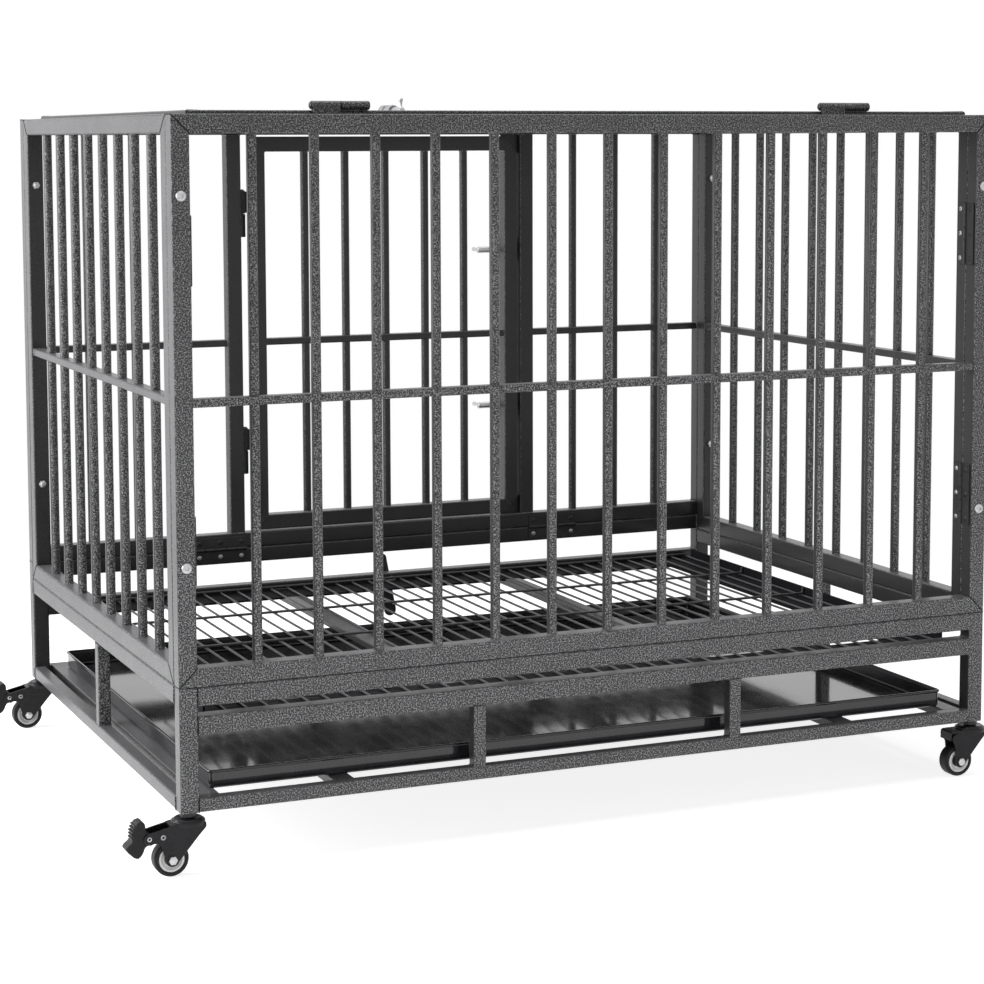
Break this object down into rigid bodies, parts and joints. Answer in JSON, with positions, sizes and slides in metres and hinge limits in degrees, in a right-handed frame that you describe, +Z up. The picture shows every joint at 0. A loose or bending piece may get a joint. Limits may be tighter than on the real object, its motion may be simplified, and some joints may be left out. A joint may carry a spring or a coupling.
{
  "type": "dog crate",
  "caption": "Heavy square-tube dog crate on swivel casters, with a hinged barred lid, a barred back door with slide bolts, a wire floor and a slide-out tray.",
  "frame": {"origin": "middle of the crate's outline on the floor, under the middle of the bounding box", "axes": "+X along the crate, +Y towards the side with the door, +Z up"},
  "size_m": [1.1652, 0.8224, 0.8983],
  "materials": {
    "hammertone_paint": "textured hammertone, half gloss",
    "zinc_steel": "bright zinc",
    "black_steel": "black, half gloss",
    "tray_enamel": "black gloss",
    "lever_paint": "black satin",
    "pedal_plastic": "black, matt",
    "wheel_plastic": "white, half matt",
    "tread_rubber": "black, matt"
  },
  "bodies": {
    "crate": {"base_frame": "hammertone_paint", "front_panel": "hammertone_paint", "back_panel": "hammertone_paint", "left_side_panel": "hammertone_paint", "right_side_panel": "hammertone_paint", "floor_grid": "hammertone_paint", "corner_bolt_front_left_upper": "zinc_steel", "corner_bolt_front_left_lower": "zinc_steel", "corner_bolt_front_right_upper": "zinc_steel", "corner_bolt_front_right_lower": "zinc_steel", "corner_bolt_back_left_upper": "zinc_steel", "corner_bolt_back_left_lower": "zinc_steel", "corner_bolt_back_right_upper": "zinc_steel", "corner_bolt_back_right_lower": "zinc_steel", "fold_hinge_left_upper": "black_steel", "fold_hinge_left_lower": "black_steel", "fold_hinge_right_upper": "black_steel", "fold_hinge_right_lower": "black_steel", "base_hinge_left": "black_steel", "base_hinge_right": "black_steel", "door_keeper_upper": "zinc_steel", "door_keeper_lower": "zinc_steel", "lid_keeper": "zinc_steel", "door_hinge_pin_upper": "black_steel", "door_hinge_pin_lower": "black_steel", "lid_hinge_pin_left": "black_steel", "lid_hinge_pin_right": "black_steel", "tray_lock_pivot": "zinc_steel", "caster_stem_front_left": "black_steel", "caster_stem_front_right": "black_steel", "caster_stem_back_left": "black_steel", "caster_stem_back_right": "black_steel"},
    "door": {"back_door": "hammertone_paint", "door_latch_upper": "zinc_steel", "door_latch_lower": "zinc_steel"},
    "upper_door_bolt": {"door_bolt_upper": "zinc_steel"},
    "lower_door_bolt": {"door_bolt_lower": "zinc_steel"},
    "top_lid": {"lid": "hammertone_paint", "lid_latch": "zinc_steel"},
    "top_lid_bolt": {"lid_bolt": "zinc_steel"},
    "floor_tray": {"tray": "tray_enamel"},
    "lock_lever": {"tray_lock_lever": "lever_paint"},
    "front_left_caster": {"caster_fork_front_left": "black_steel", "caster_axle_front_left": "zinc_steel"},
    "front_left_wheel": {"caster_wheel_front_left": "wheel_plastic", "caster_tyre_front_left": "tread_rubber"},
    "front_left_brake": {"brake_pedal_front_left": "pedal_plastic"},
    "front_right_caster": {"caster_fork_front_right": "black_steel", "caster_axle_front_right": "zinc_steel"},
    "front_right_wheel": {"caster_wheel_front_right": "wheel_plastic", "caster_tyre_front_right": "tread_rubber"},
    "back_left_caster": {"caster_fork_back_left": "black_steel", "caster_axle_back_left": "zinc_steel"},
    "back_left_wheel": {"caster_wheel_back_left": "wheel_plastic", "caster_tyre_back_left": "tread_rubber"},
    "back_left_brake": {"brake_pedal_back_left": "pedal_plastic"},
    "back_right_caster": {"caster_fork_back_right": "black_steel", "caster_axle_back_right": "zinc_steel"},
    "back_right_wheel": {"caster_wheel_back_right": "wheel_plastic", "caster_tyre_back_right": "tread_rubber"}
  },
  "joints": [
    {"name": "door_swing", "type": "hinge", "parent": "crate", "child": "door", "pos_m": [-0.19289, 0.37635, 0.54215], "axis": [0, 0, 1], "range_deg": [0, 170]},
    {"name": "upper_door_bolt_travel", "type": "slide", "parent": "door", "child": "upper_door_bolt", "axis": [1, 0, 0], "range_m": [0, 0.022]},
    {"name": "lower_door_bolt_travel", "type": "slide", "parent": "door", "child": "lower_door_bolt", "axis": [1, 0, 0], "range_m": [0, 0.022]},
    {"name": "lid_swing", "type": "hinge", "parent": "crate", "child": "top_lid", "pos_m": [0.02861, -0.37815, 0.877], "axis": [1, 0, 0], "range_deg": [0, 105]},
    {"name": "lid_bolt_travel", "type": "slide", "parent": "top_lid", "child": "top_lid_bolt", "axis": [0, 1, 0], "range_m": [0, 0.026]},
    {"name": "tray_slide", "type": "slide", "parent": "crate", "child": "floor_tray", "axis": [0, 1, 0], "range_m": [0, 0.62]},
    {"name": "tray_lock_turn", "type": "hinge", "parent": "crate", "child": "lock_lever", "pos_m": [0.02861, 0.37565, 0.173], "axis": [0, 1, 0], "range_deg": [-82, 98]},
    {"name": "front_left_swivel", "type": "hinge", "parent": "crate", "child": "front_left_caster", "pos_m": [-0.50539, -0.39065, 0], "axis": [0, 0, 1], "continuous": true},
    {"name": "front_left_wheel_spin", "type": "hinge", "parent": "front_left_caster", "child": "front_left_wheel", "pos_m": [-0.52739, -0.39065, 0.0205], "axis": [0, 1, 0], "continuous": true},
    {"name": "front_left_brake_press", "type": "hinge", "parent": "front_left_caster", "child": "front_left_brake", "pos_m": [-0.55419, -0.39065, 0.0478], "axis": [0, 1, 0], "range_deg": [0, 20]},
    {"name": "front_right_swivel", "type": "hinge", "parent": "crate", "child": "front_right_caster", "pos_m": [0.56261, -0.39065, 0], "axis": [0, 0, 1], "continuous": true},
    {"name": "front_right_wheel_spin", "type": "hinge", "parent": "front_right_caster", "child": "front_right_wheel", "pos_m": [0.54061, -0.39065, 0.0205], "axis": [0, 1, 0], "continuous": true},
    {"name": "back_left_swivel", "type": "hinge", "parent": "crate", "child": "back_left_caster", "pos_m": [-0.50539, 0.36435, 0], "axis": [0, 0, 1], "continuous": true},
    {"name": "back_left_wheel_spin", "type": "hinge", "parent": "back_left_caster", "child": "back_left_wheel", "pos_m": [-0.52739, 0.36435, 0.0205], "axis": [0, 1, 0], "continuous": true},
    {"name": "back_left_brake_press", "type": "hinge", "parent": "back_left_caster", "child": "back_left_brake", "pos_m": [-0.55419, 0.36435, 0.0478], "axis": [0, 1, 0], "range_deg": [0, 20]},
    {"name": "back_right_swivel", "type": "hinge", "parent": "crate", "child": "back_right_caster", "pos_m": [0.56261, 0.36435, 0], "axis": [0, 0, 1], "continuous": true},
    {"name": "back_right_wheel_spin", "type": "hinge", "parent": "back_right_caster", "child": "back_right_wheel", "pos_m": [0.54061, 0.36435, 0.0205], "axis": [0, 1, 0], "continuous": true}
  ]
}
